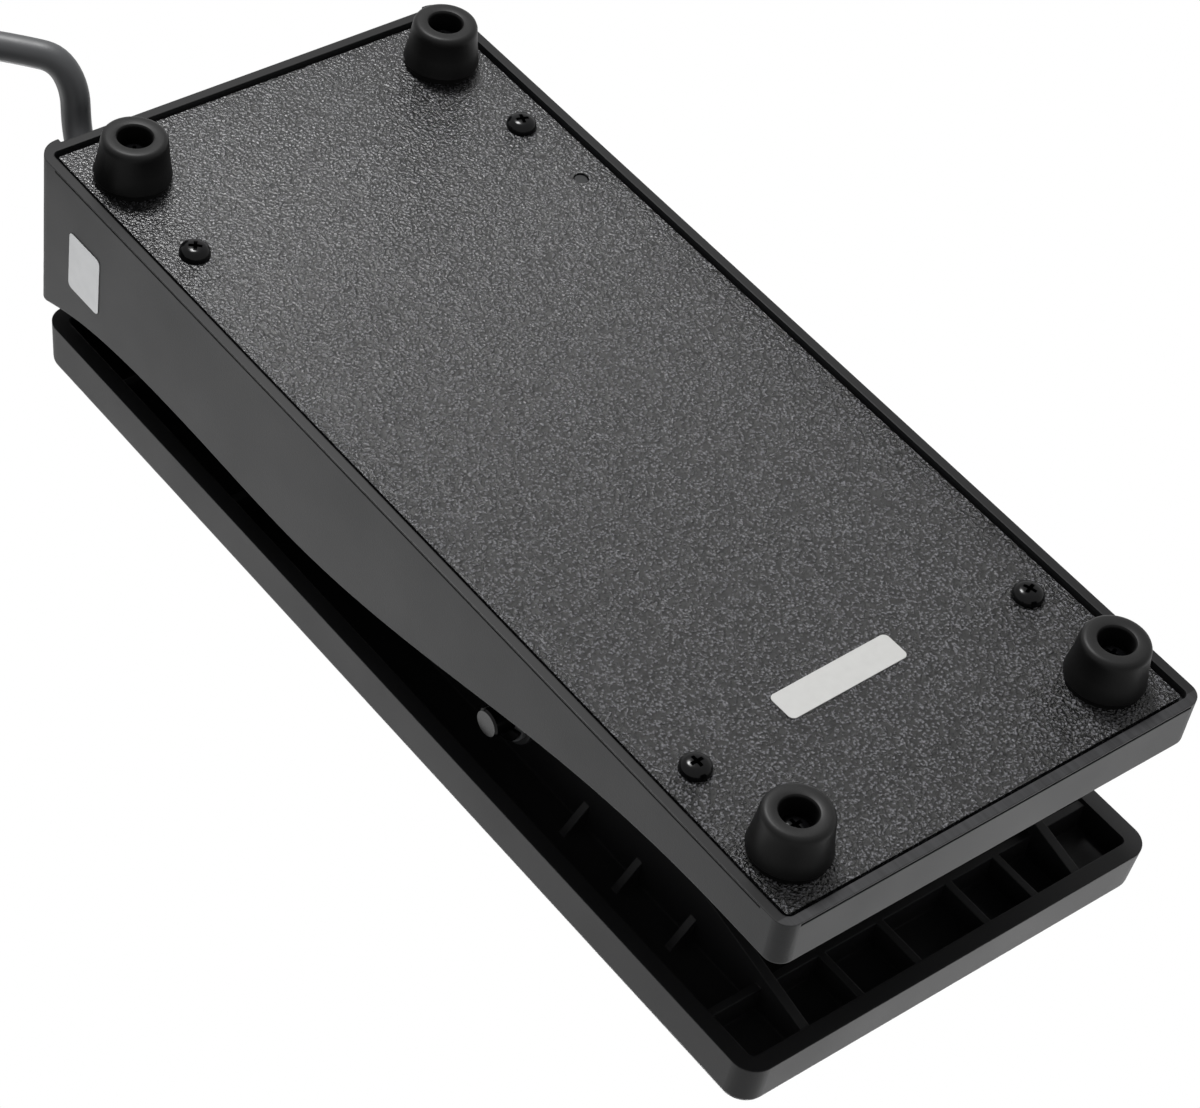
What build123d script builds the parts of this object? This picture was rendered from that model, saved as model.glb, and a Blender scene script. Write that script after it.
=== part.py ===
from build123d import *
import os
from math import acos, cos, pi, radians, sin, tan

# Expression pedal: a treadle rocks on an axle over a shallow moulded housing.
# A toothed sector under the treadle turns the pinion of a rotary potentiometer.
# Millimetres. +X is the player's right, +Y runs from heel to toe, +Z is up.
# The feet stand on z = 0, and X = Y = 0 is the middle of the pedal's outline.

# Overall
base_width = 100.0
base_length = 228.2
treadle_overhang = 0.9
toe_post_reach = 1.0
total_length = base_length + treadle_overhang + toe_post_reach
heel_end = -total_length / 2
base_heel = heel_end + treadle_overhang
base_toe = total_length / 2 - toe_post_reach
base_mid = (base_heel + base_toe) / 2

# Feet and bottom plate
foot_height = 10.3
plate_recess = 0.7
plate_thickness = 1.2
plate_gap = 1.0
plate_corner = 0.5
rim_z = foot_height - plate_recess
plate_z = foot_height
plate_top = plate_z + plate_thickness
foot_base_r = 7.8
foot_neck_r = 7.4
foot_neck_height = 1.2
foot_tip_r = 6.6
foot_lip = 0.65
foot_hole_r = 3.45
foot_floor = 4.2
foot_screw_length = 10.0
foot_inset = 12.4
foot_x = base_width / 2 - foot_inset
foot_from_toe = 14.9
foot_from_heel = 13.6

# Housing
wall = 3.2
deck_wall = 2.6
rim_width = 2.0
heel_corner = 3.5
toe_corner = 3.5
inner_corner = 0.5
side_draft = 0.021
heel_draft = 0.01
deck_edge = 0.9
heel_rise = 11.0
deck_rise = 30.2
toe_step = 7.5
toe_rise = deck_rise + toe_step
heel_flat = 24.0
heel_flat_rise = 0.1
ramp_low = (59.0, 15.3)
ramp_high_from_heel = 101.4
ramp_high_drop = 5.2
deck_from_heel = 136.0
deck_from_toe = 57.0
toe_ramp_from_toe = 21.0
toe_ramp_step = 2.0
toe_crown = 2.6
toe_crown_reach = 5.0
toe_slope = 0.4
toe_panel_depth = 1.2
toe_post = 5.5
toe_post_corner = 5.0
toe_post_rise = 26.0
groove_size = 0.35
heel_groove = 0.6
groove_rise = 0.25
groove_end = 6.5
panel_low = 2.0

# How far a cutter runs past the face it cuts, and a rib into the wall it joins
over = 1.0

# Screws, washers and nuts: one thread size everywhere
screw_r = 1.5
screw_head_r = 3.1
screw_head = 2.1
screw_length = 8.0
screw_cross = 3.4
screw_slot = 0.7
screw_recess = 0.6
screw_dome = 0.45
screw_turn = 30.0
screw_clear = 0.2
thread_gap = 0.05
thread_end = 0.4
boss_r = 4.0
nut_flats = 5.5
nut_height = 2.4
washer_r = 3.4
washer_height = 0.5
screw_inset = 10.3
screw_x = base_width / 2 - screw_inset
screw_from_toe = 39.6
screw_from_heel = 36.1

# Locating peg that shows through the plate
peg_inset = 9.6
peg_x = peg_inset - base_width / 2
peg_from_toe = 58.5
peg_r = 1.35
peg_hole_r = 1.6
peg_sunk = 0.3

# Hinge
pivot_from_heel = 82.9
pivot_above_deck = 1.0
pivot_z = rim_z + deck_rise + pivot_above_deck
pivot_y = base_heel + pivot_from_heel
axle_r = 3.0
axle_inset = 5.0
axle_half = base_width / 2 - axle_inset
axle_edge = 0.4
ear_inset = 15.1
ear_inner = base_width / 2 - ear_inset
ear_thickness = 4.6
ear_r = 6.5
ear_foot = 13.0
bush_r = 4.0
bush_flange_r = 5.4
bush_flange = 1.0
running_gap = 0.05
lug_r = 5.5
lug_thickness = 4.8
hinge_washer = 0.4
face_gap = 0.1
clip_r = 5.0
clip_groove_r = 2.4
clip_thickness = 0.7
clip_mouth = 3.8
clip_turn = 200.0
travel = 18.0
lug_outer = ear_inner - face_gap - hinge_washer

# Treadle
treadle_side = 0.3
treadle_width = base_width - 2 * treadle_side
treadle_above_deck = 10.1
treadle_rim_z = rim_z + deck_rise + treadle_above_deck
treadle_height = 10.4
treadle_toe_gap = 3.95
treadle_wall = 3.5
treadle_floor = 2.5
treadle_corner = 4.8
treadle_draft_x = 0.35
treadle_draft_y = 0.8
treadle_edge = 1.6
mat_recess = 1.2
mat_margin = 7.5
mat_sheet = 1.5
mat_rib = 0.8
mat_rib_width = 2.4
mat_rib_pitch = 4.8
mat_rib_margin = 3.0
mat_corner = 4.0
mat_gap = 0.15
rib = 1.6
rib_rise = 1.0
fin = 2.0
fin_x = lug_outer - fin / 2
fin_slope = 0.26
cross_rib_from_heel = 15.6
heel_ribs_x = (-23.0, -11.0, 6.0, 20.0)
gusset_reach = 5.0
gusset_first = 65.0
gusset_pitch = 15.6
gusset_count = 3
toe_ribs_from_toe = (24.0, 62.0)

# Stops
stop_r = 5.0
stop_gap = 0.3
stop_edge = 0.8
toe_stop_from_toe = 45.0
heel_stop_from_heel = 15.5
stop_play = 3.0

# Gear train
module = 0.8
pinion_teeth = 12
sector_teeth = 120
pressure = radians(20.0)
pinion_addendum = 0.8
sector_addendum = 0.55
root_gap = 0.22
backlash = 0.12
sector_r = module * sector_teeth / 2
pinion_r = module * pinion_teeth / 2
centre_distance = sector_r + pinion_r
mesh_angle = 15.7
sector_margin = 2.0
sector_depth = 10.0
sector_thickness = 4.0
pinion_width = 6.4
flange_thickness = 3.0
flange_half_x = 14.0
flange_margin = 2.0
sector_screw_x = 9.0
sector_boss = 4.0
neck_start = 3.0
neck_end = 1.0
tooth_steps = 5
tooth_sunk = 0.2
slot_margin = 1.2
pot_y = pivot_y + centre_distance * cos(radians(mesh_angle))
pot_z = pivot_z - centre_distance * sin(radians(mesh_angle))

# Potentiometer and its bracket
shaft_r = 3.0
bush_thread_r = 3.5
bush_clear = 0.2
pot_r = 8.25
pot_depth = 8.0
pot_wall = 1.2
pot_edge = 0.5
bracket_x = 6.0
bracket_sheet = 1.5
bracket_half = 10.0
bracket_top_drop = 1.0
bracket_foot = 20.0
bracket_foot_drop = 11.5
bracket_foot_z = pot_z - bracket_foot_drop
post_x = 21.0
post_spread = 7.0
post_r = 3.6
pot_nut_flats = 10.0
pot_nut_height = 2.0
pot_washer_r = 5.5
pot_washer_height = 0.5
wafer = 1.0
wiper_r = 6.0
wiper_height = 1.2
wiper_gap = 0.8
shaft_past_wiper = 0.3
shaft_past_pinion = 1.0
shaft_edge = 0.4
wafer_edge = 1.5
terminal_pitch = 5.0
terminal_width = 1.5
terminal_sheet = 0.5
terminal_reach = 5.0
wire_r = 0.6
wire_spread = 1.5
wire_inboard = (6.0, 9.0)
wire_shares = (0.18, 0.55)

# Cable and what holds it in the toe wall
cable_r = 3.0
cable_inset = 14.0
cable_x = base_width / 2 - cable_inset
cable_z = 20.0
cable_length = 1800.0
grommet_r = 4.6
grommet_flange_r = 6.2
grommet_flange = 1.5
grommet_seat = 0.3
lead_in_end = 30.0
clamp_from_toe = 26.0
clamp_width = 8.0
clamp_bar = 2.0
clamp_reach = 7.0
clamp_end = 4.0
clamp_corner = 1.5
clamp_screw_step = 8.0
clamp_screw_x = cable_x - clamp_screw_step

# Labels, both left blank
label_sheet = 0.15
serial_size = (28.4, 6.5)
serial_corner = 1.2
serial_x = 3.75
serial_from_heel = 39.3
serial_turn = -1.5
side_size = (10.6, 14.2)
side_corner = 1.2
side_from_toe = 17.6
side_rise = 18.5

# Cable's free stretch: x and y steps from the grommet, and height above the floor
cable_steps = [
    (0.0, 0.0, cable_z),
    (0.0, 4.95, cable_z),
    (-1.4, 9.45, 16.0),
    (-2.6, 12.25, 9.0),
    (-0.8, 15.95, 3.6),
    (3.5, 19.95, cable_r),
    (10.0, 26.45, cable_r),
    (21.5, 35.05, cable_r),
    (37.0, 43.05, cable_r),
    (59.24, 48.22, cable_r),
]
cable_route = [(cable_x + across, base_toe + along, z) for across, along, z in cable_steps]

# Coil: layers wound inwards and outwards in turn, the lowest one on the floor
coil_across = 67.8
coil_along = 11.15
coil_x = cable_x + coil_across
coil_y = base_toe + coil_along
coil_line_r = 38.05
coil_layers = 4
layer_turns = 2.0715
turn_pitch = 6.15
layer_rise = 6.05
coil_outer = coil_line_r + cable_r
coil_inner = coil_line_r - layer_turns * turn_pitch - cable_r
coil_height = (coil_layers - 1) * layer_rise + 2 * cable_r
coil_edge = 0.9 * cable_r
tie_width = 8.0
tie_thickness = 0.8

# Cable's end: x and y steps from the coil's middle, and height above the floor
plug_z = 5.6
tail_steps = [
    (coil_line_r, 0.0, coil_height - cable_r),
    (38.4, -10.0, 21.15),
    (38.2, -19.7, 18.7),
    (36.8, -39.8, 8.0),
    (36.2, -49.5, plug_z),
    (36.2, -59.5, plug_z),
]
tail_route = [(coil_x + across, coil_y + along, z) for across, along, z in tail_steps]

# Plug: a quarter-inch stereo jack
plug_r = 3.175
handle_r = plug_z
handle_length = 27.0
boot_length = 13.0
boot_r = 4.2
boot_wall = 0.6
handle_shoulder = 1.2
handle_edge = 0.9
collar_r = 4.6
collar_length = 2.2
sleeve_length = 18.6
insulator_length = 1.1
ring_length = 3.6
tip_profile = [(0.0, plug_r), (0.6, plug_r), (2.2, 2.3), (3.6, 3.1), (6.6, 1.4), (7.3, 0.9)]


def save(shape, node):
    export_step(shape, "parts/" + node + ".step")


def group(solids):
    return Compound(children=list(solids))


def upright(radius, x, y, low, high):
    """Round post along Z."""
    post = Cylinder(radius, high - low, align=(Align.CENTER, Align.CENTER, Align.MIN))
    return Pos(x, y, low) * post


def crosswise(radius, x_from, x_to, y, z):
    """Round bar along X."""
    bar = Cylinder(radius, x_to - x_from, align=(Align.CENTER, Align.CENTER, Align.MIN))
    return Pos(x_from, y, z) * Rot(0, 90, 0) * bar


def block(x_from, x_to, y_from, y_to, z_from, z_to):
    size = (x_to - x_from, y_to - y_from, z_to - z_from)
    return Pos((x_from + x_to) / 2, (y_from + y_to) / 2, (z_from + z_to) / 2) * Box(*size)


def side_plate(outline, x_from, x_to):
    """Flat piece whose outline is drawn in Y and Z."""
    return extrude(Plane.YZ.offset(x_from) * outline, x_to - x_from)


def hexagon(flats, height):
    return extrude(RegularPolygon(flats / 2, 6, major_radius=False), height)


def pan_screw(x, y, seat, length=screw_length):
    """Cross-recessed pan head screw driven upwards, its head's face seated at the height seat."""
    head = Cylinder(screw_head_r, screw_head, align=(Align.CENTER, Align.CENTER, Align.MAX))
    head = fillet(head.edges().group_by(Axis.Z)[0], screw_head * screw_dome)
    recess = screw_head * screw_recess
    for turn in (0, 90):
        slot = Box(screw_cross, screw_slot, recess, align=(Align.CENTER, Align.CENTER, Align.MIN))
        head -= Pos(0, 0, -screw_head) * Rot(0, 0, turn + screw_turn) * slot
    shank = Cylinder(screw_r - thread_gap, length, align=(Align.CENTER, Align.CENTER, Align.MIN))
    return Pos(x, y, seat) * (head + shank)


def corner_spots(x, toe_inset, heel_inset):
    """The four places of a plate screw or foot: name, x and y."""
    return [
        ("toe_right", x, base_toe - toe_inset),
        ("toe_left", -x, base_toe - toe_inset),
        ("heel_right", x, base_heel + heel_inset),
        ("heel_left", -x, base_heel + heel_inset),
    ]


screw_spots = corner_spots(screw_x, screw_from_toe, screw_from_heel)
foot_spots = corner_spots(foot_x, foot_from_toe, foot_from_heel)


def plan_shape(width, length, toe_radius, heel_radius):
    """Rectangle seen from above, its toe and heel corners rounded by their own radii."""
    plan = Rectangle(width, length)
    plan = fillet(plan.vertices().group_by(Axis.Y)[-1], toe_radius)
    return fillet(plan.vertices().group_by(Axis.Y)[0], heel_radius)


def housing_form(inset, drop, low, toe_reach=0.0, toe_radius=toe_corner):
    """The housing's outer form, or its hollow when inset and drop are the walls."""
    high = rim_z + toe_rise + toe_crown + over
    sections = []
    for z in (low, high):
        rise = z - rim_z
        heel = base_heel + inset + heel_draft * rise
        toe = base_toe + toe_reach - inset - side_draft * rise
        width = base_width - 2 * (inset + side_draft * rise)
        plan = plan_shape(width, toe - heel, max(toe_radius - inset, inner_corner),
                          max(heel_corner - inset, inner_corner))
        sections.append(Pos(0, (heel + toe) / 2, z) * plan)
    body = loft(sections, ruled=True)
    reach = toe_crown_reach
    points = [
        (base_heel, heel_rise),
        (base_heel + heel_flat, heel_rise + heel_flat_rise),
        (base_heel + ramp_low[0], ramp_low[1]),
        (base_heel + ramp_high_from_heel, deck_rise - ramp_high_drop),
        (base_heel + deck_from_heel, deck_rise),
        (base_toe - deck_from_toe, deck_rise),
        (base_toe - toe_ramp_from_toe, deck_rise + toe_ramp_step),
        (base_toe + reach, toe_rise + toe_crown),
    ]
    line = [(y, rim_z + rise - drop) for y, rise in points]
    top = Spline(line, tangents=[(1, 0), (1, toe_slope)])
    start = Line((base_heel - reach, line[0][1]), line[0])
    under = Polyline(line[-1], (base_toe + reach, low), (base_heel - reach, low),
                     (base_heel - reach, line[0][1]))
    outline = make_face(start + top + under)
    return body & side_plate(outline, -base_width, base_width)


def toe_posts():
    """Rounded posts at the toe's corners, a little proud of the toe wall."""
    form = housing_form(0, 0, rim_z, toe_post_reach, toe_post_corner)
    half = base_width / 2
    posts = []
    for near, far in ((-half - over, toe_post - half), (half - toe_post, half + over)):
        posts.append(form & block(near, far, base_toe - 2 * toe_post, base_toe + 2 * toe_post_reach,
                                  rim_z - over, rim_z + toe_post_rise))
    return posts


def housing_shell():
    outer = housing_form(0, 0, rim_z)
    crown = outer.faces().filter_by(lambda face: face.normal_at().Z > 0.5)
    outer = fillet(crown.edges(), deck_edge)
    for post in toe_posts():
        outer += post
    rebate_width = base_width - 2 * rim_width
    rebate_length = base_length - 2 * rim_width
    rebate = extrude(RectangleRounded(rebate_width, rebate_length, plate_corner + plate_gap),
                     plate_recess + plate_thickness)
    shell = outer - housing_form(wall, deck_wall, rim_z - over)
    shell -= Pos(0, base_mid, rim_z) * rebate
    half = base_width / 2
    panel = half - toe_post
    shell -= block(-panel, panel, base_toe - toe_panel_depth, base_toe + over, rim_z + panel_low,
                   2 * pivot_z)
    low = rim_z + groove_rise
    for side in (-1, 1):
        edge = side * (half - groove_size)
        cut = block(min(edge, side * half), max(edge, side * half), base_heel + groove_end,
                    base_toe - groove_end, low, low + groove_size)
        shell -= cut
    shell -= block(-half + heel_corner, half - heel_corner, base_heel, base_heel + heel_groove,
                   low, low + heel_groove)
    return shell


def ear_outline():
    """Upright ear: round head about the axle, feet spread on the housing's ramp."""
    head = Pos(pivot_y, pivot_z) * Circle(ear_r)
    foot = rim_z + ramp_low[1]
    leg = Polygon((pivot_y - ear_foot, foot), (pivot_y + ear_foot, foot),
                  (pivot_y + ear_r, pivot_z), (pivot_y - ear_r, pivot_z), align=None)
    return head + leg


def hanging_posts():
    """Posts that hang from the deck's inside to the plate, the bracket and the clamp."""
    posts = [upright(boss_r, x, y, plate_top, rim_z + toe_rise) for _, x, y in screw_spots]
    posts.append(upright(2 * peg_r, peg_x, base_toe - peg_from_toe, plate_top, rim_z + toe_rise))
    seat = bracket_foot_z + bracket_sheet
    for side in (-1, 1):
        posts.append(upright(post_r, post_x, pot_y + side * post_spread, seat, rim_z + toe_rise))
    clamp_y = base_toe - clamp_from_toe
    clamp_top = cable_z - cable_r
    posts.append(upright(post_r, clamp_screw_x, clamp_y, clamp_top, rim_z + toe_rise))
    half = clamp_width / 2
    posts.append(block(cable_x - cable_r, cable_x + cable_r, clamp_y - half, clamp_y + half,
                       cable_z + cable_r, rim_z + toe_rise))
    return posts


def base_housing():
    shell = housing_shell()
    solid = housing_form(0, 0, rim_z)
    core = housing_form(wall / 2, deck_wall / 2, plate_top - over)
    posts = hanging_posts()
    for post in posts:
        shell += post & core
    for side in (-1, 1):
        near = ear_inner if side > 0 else -ear_inner - ear_thickness
        ear = side_plate(ear_outline(), near, near + ear_thickness)
        shell += ear - housing_form(wall, deck_wall, rim_z)
    shell += upright(peg_r, peg_x, base_toe - peg_from_toe, plate_z + peg_sunk, plate_top + over)
    depth = screw_length - plate_thickness + thread_end
    for _, x, y in screw_spots:
        shell -= upright(screw_r, x, y, plate_top - over, plate_top + depth)
    seat = bracket_foot_z + bracket_sheet
    depth = screw_length - bracket_sheet + thread_end
    for side in (-1, 1):
        shell -= upright(screw_r, post_x, pot_y + side * post_spread, seat - over, seat + depth)
    seat = cable_z - cable_r
    depth = screw_length - clamp_bar + thread_end
    shell -= upright(screw_r, clamp_screw_x, base_toe - clamp_from_toe, seat - over, seat + depth)
    shell -= crosswise(bush_r, -base_width / 2, base_width / 2, pivot_y, pivot_z)
    half_slot = sector_thickness / 2 + slot_margin
    inner = sector_r - sector_depth
    shell -= block(-half_slot, half_slot, pivot_y + inner - 2 * slot_margin,
                   pivot_y + sector_r + 2 * slot_margin, pot_z, rim_z + toe_rise)
    hole = Cylinder(grommet_r, 4 * wall)
    shell -= Pos(cable_x, base_toe, cable_z) * Rot(90, 0, 0) * hole
    return shell, solid


housing_part, housing_solid = base_housing()


def bottom_plate():
    width = base_width - 2 * rim_width - 2 * plate_gap
    length = base_length - 2 * rim_width - 2 * plate_gap
    outline = RectangleRounded(width, length, plate_corner)
    sheet = Pos(0, base_mid, plate_z) * extrude(outline, plate_thickness)
    for _, x, y in screw_spots + foot_spots:
        sheet -= upright(screw_r + screw_clear, x, y, plate_z - over, plate_top + over)
    return sheet - upright(peg_hole_r, peg_x, base_toe - peg_from_toe, plate_z - over, plate_top + over)


def foot(x, y):
    """Turned rubber foot with a deep screw hole in its tip, and a narrow neck at the plate."""
    neck_z = foot_height - foot_neck_height
    outline = Polyline((0, 0), (foot_tip_r, 0), (foot_base_r, neck_z), (foot_neck_r, neck_z),
                       (foot_neck_r, foot_height), (0, foot_height), close=True)
    body = revolve(Plane.XZ * make_face(outline), Axis.Z)
    body = fillet(body.edges().group_by(Axis.Z)[0], foot_lip)
    body -= upright(foot_hole_r, 0, 0, -over, foot_height - foot_floor)
    body -= upright(screw_r + screw_clear, 0, 0, 0, foot_height + over)
    return Pos(x, y, 0) * body


def stop(x, y, low, top):
    """Rubber bumper glued to the housing, its underside cut to the housing's top face."""
    pad = upright(stop_r, x, y, low, top)
    pad = fillet(pad.edges().group_by(Axis.Z)[-1], stop_edge)
    return pad - housing_solid


def fin_bottom(y):
    """Height of the long fins' lower edge on the heel side."""
    start = treadle_heel + treadle_wall
    return treadle_rim_z + rib_rise - fin_slope * (y - start)


treadle_heel = heel_end
treadle_toe = base_toe - treadle_toe_gap
treadle_top = treadle_rim_z + treadle_height
floor_z = treadle_top - mat_recess - treadle_floor
rib_z = treadle_rim_z + rib_rise


def treadle_form(inset, low, high):
    sections = []
    for z in (low, high):
        share = (z - treadle_rim_z) / treadle_height
        width = treadle_width - 2 * (inset + treadle_draft_x * share)
        heel = treadle_heel + inset + treadle_draft_y * share
        toe = treadle_toe - inset - treadle_draft_y * share
        plan = RectangleRounded(width, toe - heel, treadle_corner - inset)
        sections.append(Pos(0, (heel + toe) / 2, z) * plan)
    return loft(sections, ruled=True)


def fin_outline():
    """Long fin: its lower edge falls from the heel wall to the axle's lug, then rises to the toe."""
    start = treadle_heel + treadle_wall / 2
    lug_low = pivot_z - lug_r
    slope_end = start + (fin_bottom(start) - lug_low) / fin_slope
    rise = pivot_y + 2 * lug_r
    rise_end = rise + (rib_z - pivot_z)
    return Polygon((start, fin_bottom(start)), (slope_end, lug_low), (pivot_y, lug_low), (rise, pivot_z),
                   (rise_end, rib_z), (treadle_toe - treadle_wall / 2, rib_z),
                   (treadle_toe - treadle_wall / 2, floor_z + over), (start, floor_z + over), align=None)


def gusset(side, y):
    """Three-cornered web from a long fin's outer face to the floor."""
    face = side * (fin_x + fin / 2)
    outer = face + side * gusset_reach
    outline = Polygon((face - side * fin / 2, rib_z), (face, rib_z), (outer, floor_z),
                      (outer, floor_z + over), (face - side * fin / 2, floor_z + over), align=None)
    return extrude(Plane.XZ.offset(-y) * outline, rib / 2, both=True)


def treadle_ribs():
    inner_half = treadle_width / 2 - treadle_wall / 2
    cross_y = treadle_heel + cross_rib_from_heel
    ribs = [block(-inner_half, inner_half, cross_y - rib / 2, cross_y + rib / 2, rib_z,
                  floor_z + over)]
    for inset in toe_ribs_from_toe:
        y = treadle_toe - inset
        ribs.append(block(-inner_half, inner_half, y - rib / 2, y + rib / 2, rib_z, floor_z + over))
    for x in heel_ribs_x:
        ribs.append(block(x - rib / 2, x + rib / 2, treadle_heel + treadle_wall / 2, cross_y,
                          rib_z, floor_z + over))
    for side in (-1, 1):
        near = side * fin_x
        ribs.append(side_plate(fin_outline(), near - fin / 2, near + fin / 2))
        for index in range(gusset_count):
            y = treadle_heel + gusset_first - index * gusset_pitch
            ribs.append(gusset(side, y))
    return ribs


def treadle():
    shell = treadle_form(0, treadle_rim_z, treadle_top)
    shell = fillet(shell.faces().sort_by(Axis.Z)[-1].edges(), treadle_edge)
    shell -= treadle_form(treadle_wall, treadle_rim_z - over, floor_z)
    for piece in treadle_ribs():
        shell += piece
    for side in (-1, 1):
        near = lug_outer - lug_thickness if side > 0 else -lug_outer
        eye = Pos(pivot_y, pivot_z) * Circle(lug_r)
        stem = Polygon((pivot_y - lug_r, pivot_z), (pivot_y + lug_r, pivot_z),
                       (pivot_y + 2 * lug_r, floor_z + over), (pivot_y - 2 * lug_r, floor_z + over),
                       align=None)
        shell += side_plate(eye + stem, near, near + lug_thickness)
        shell += upright(boss_r, side * sector_screw_x, sector_mid, floor_z - sector_boss, floor_z + over)
    shell -= crosswise(axle_r, -base_width / 2, base_width / 2, pivot_y, pivot_z)
    seat = floor_z - sector_boss
    depth = screw_length - flange_thickness + thread_end
    for side in (-1, 1):
        shell -= upright(screw_r, side * sector_screw_x, sector_mid, seat - over, seat + depth)
    shell -= mat_form(0, treadle_top - mat_recess, treadle_top + over)
    return shell


def mat_form(gap, low, high):
    width = treadle_width - 2 * (mat_margin + gap)
    length = treadle_toe - treadle_heel - 2 * (mat_margin + gap)
    plan = RectangleRounded(width, length, mat_corner)
    return Pos(0, (treadle_toe + treadle_heel) / 2, low) * extrude(plan, high - low)


def tread_mat():
    low = treadle_top - mat_recess
    sheet = mat_form(mat_gap, low, low + mat_sheet)
    length = treadle_toe - treadle_heel - 2 * (mat_margin + mat_rib_margin)
    width = treadle_width - 2 * (mat_margin + mat_rib_margin)
    count = int(length / mat_rib_pitch)
    middle = (treadle_toe + treadle_heel) / 2
    for index in range(count):
        y = middle + (index - (count - 1) / 2) * mat_rib_pitch
        half = mat_rib_width / 2
        sheet += block(-width / 2, width / 2, y - half, y + half, low + mat_sheet / 2,
                       low + mat_sheet + mat_rib)
    return sheet


def tooth(pitch_radius, tooth_count, root, tip):
    """One involute tooth along the local x axis."""
    base = pitch_radius * cos(pressure)
    half = pi / (2 * tooth_count) - backlash / (4 * pitch_radius)
    pitch_roll = tan(pressure) - pressure
    foot_radius = max(base, root)
    upper = []
    for index in range(tooth_steps + 1):
        radius = foot_radius + (tip - foot_radius) * index / tooth_steps
        angle_here = acos(min(base / radius, 1.0))
        turn = half + pitch_roll - (tan(angle_here) - angle_here)
        upper.append((radius, turn))
    upper.insert(0, (root - tooth_sunk, upper[0][1]))
    points = [(radius * cos(turn), -radius * sin(turn)) for radius, turn in upper]
    points += [(x, -y) for x, y in reversed(points)]
    return Polygon(*points, align=None)


def pinion():
    root = pinion_r - sector_addendum - root_gap
    wheel = Circle(root)
    for index in range(pinion_teeth):
        turn = 180 - mesh_angle + (index + 0.5) * 360 / pinion_teeth
        wheel += Rot(0, 0, turn) * tooth(pinion_r, pinion_teeth, root, pinion_r + pinion_addendum)
    wheel -= Circle(shaft_r)
    return side_plate(Pos(pot_y, pot_z) * wheel, -pinion_width / 2, pinion_width / 2)


def gear_sector():
    root = sector_r - pinion_addendum - root_gap
    inner = sector_r - sector_depth
    start = mesh_angle - sector_margin
    end = mesh_angle + travel + sector_margin
    wedge = Polygon((0, 0), (2 * root * cos(radians(end)), -2 * root * sin(radians(end))),
                    (2 * root * cos(radians(start)), -2 * root * sin(radians(start))), align=None)
    arc = (Circle(root) - Circle(inner)) & wedge
    pitch = 360 / sector_teeth
    for index in range(int((travel + sector_margin) / pitch) + 1):
        turn = -(mesh_angle + index * pitch)
        arc += Rot(0, 0, turn) * tooth(sector_r, sector_teeth, root, sector_r + sector_addendum)
    right = root * cos(radians(start))
    left = inner * cos(radians(start))
    seat = floor_z - sector_boss - flange_thickness
    neck = Polygon((left, -inner * sin(radians(start + neck_start))),
                   (right, -root * sin(radians(start + neck_end))),
                   (right, seat + over - pivot_z), (left, seat + over - pivot_z), align=None)
    arm = side_plate(Pos(pivot_y, pivot_z) * (arc + neck), -sector_thickness / 2, sector_thickness / 2)
    flange = block(-flange_half_x, flange_half_x, pivot_y + left - flange_margin,
                   pivot_y + right + flange_margin, seat, seat + flange_thickness)
    flange = fillet(flange.edges().filter_by(Axis.Z), flange_margin)
    body = arm + flange
    for side in (-1, 1):
        body -= upright(screw_r + screw_clear, side * sector_screw_x, sector_mid, seat - over,
                        seat + flange_thickness + over)
    return body


sector_mid = pivot_y + (sector_r - sector_depth / 2) * cos(radians(mesh_angle - sector_margin))


def axle():
    rod = crosswise(axle_r, -axle_half, axle_half, pivot_y, pivot_z)
    rod = chamfer(rod.edges().group_by(Axis.X)[0] + rod.edges().group_by(Axis.X)[-1], axle_edge)
    for side in (-1, 1):
        near, far = clip_span(side)
        band = crosswise(axle_r + over, near, far, pivot_y, pivot_z)
        rod -= band - crosswise(clip_groove_r, near, far, pivot_y, pivot_z)
    return rod


def clip_span(side):
    start = ear_inner + ear_thickness + bush_flange + face_gap
    span = (start, start + clip_thickness)
    return span if side > 0 else (-span[1], -span[0])


def axle_clips():
    clips = []
    for side in (-1, 1):
        near, far = clip_span(side)
        mouth = Pos(clip_r, 0) * Rectangle(2 * clip_r, clip_mouth)
        outline = Circle(clip_r) - Circle(clip_groove_r) - mouth
        clips.append(side_plate(Pos(pivot_y, pivot_z) * Rot(0, 0, clip_turn) * outline, near, far))
    return clips


def hinge_bush(side):
    """Flanged nylon bush pressed into an ear from outside."""
    near = ear_inner
    far = ear_inner + ear_thickness
    tube = crosswise(bush_r, near, far, pivot_y, pivot_z)
    tube += crosswise(bush_flange_r, far, far + bush_flange, pivot_y, pivot_z)
    tube -= crosswise(axle_r + running_gap, near - over, far + bush_flange + over, pivot_y, pivot_z)
    return tube if side > 0 else mirror(tube, Plane.YZ)


def hinge_washers():
    rings = []
    for side in (-1, 1):
        near = lug_outer if side > 0 else -lug_outer - hinge_washer
        ring = crosswise(lug_r, near, near + hinge_washer, pivot_y, pivot_z)
        rings.append(ring - crosswise(axle_r, near, near + hinge_washer, pivot_y, pivot_z))
    return rings


def pot_body():
    front = bracket_x + bracket_sheet
    back = front + pot_depth
    can = crosswise(pot_r, front, back, pot_y, pot_z)
    can = fillet(can.edges().group_by(Axis.X)[0], pot_edge)
    can -= crosswise(pot_r - pot_wall, front + pot_wall, back, pot_y, pot_z)
    can += crosswise(bush_thread_r, pinion_width / 2 + bush_clear, front + pot_wall, pot_y, pot_z)
    return can - crosswise(shaft_r + running_gap, 0, back, pot_y, pot_z)


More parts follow.
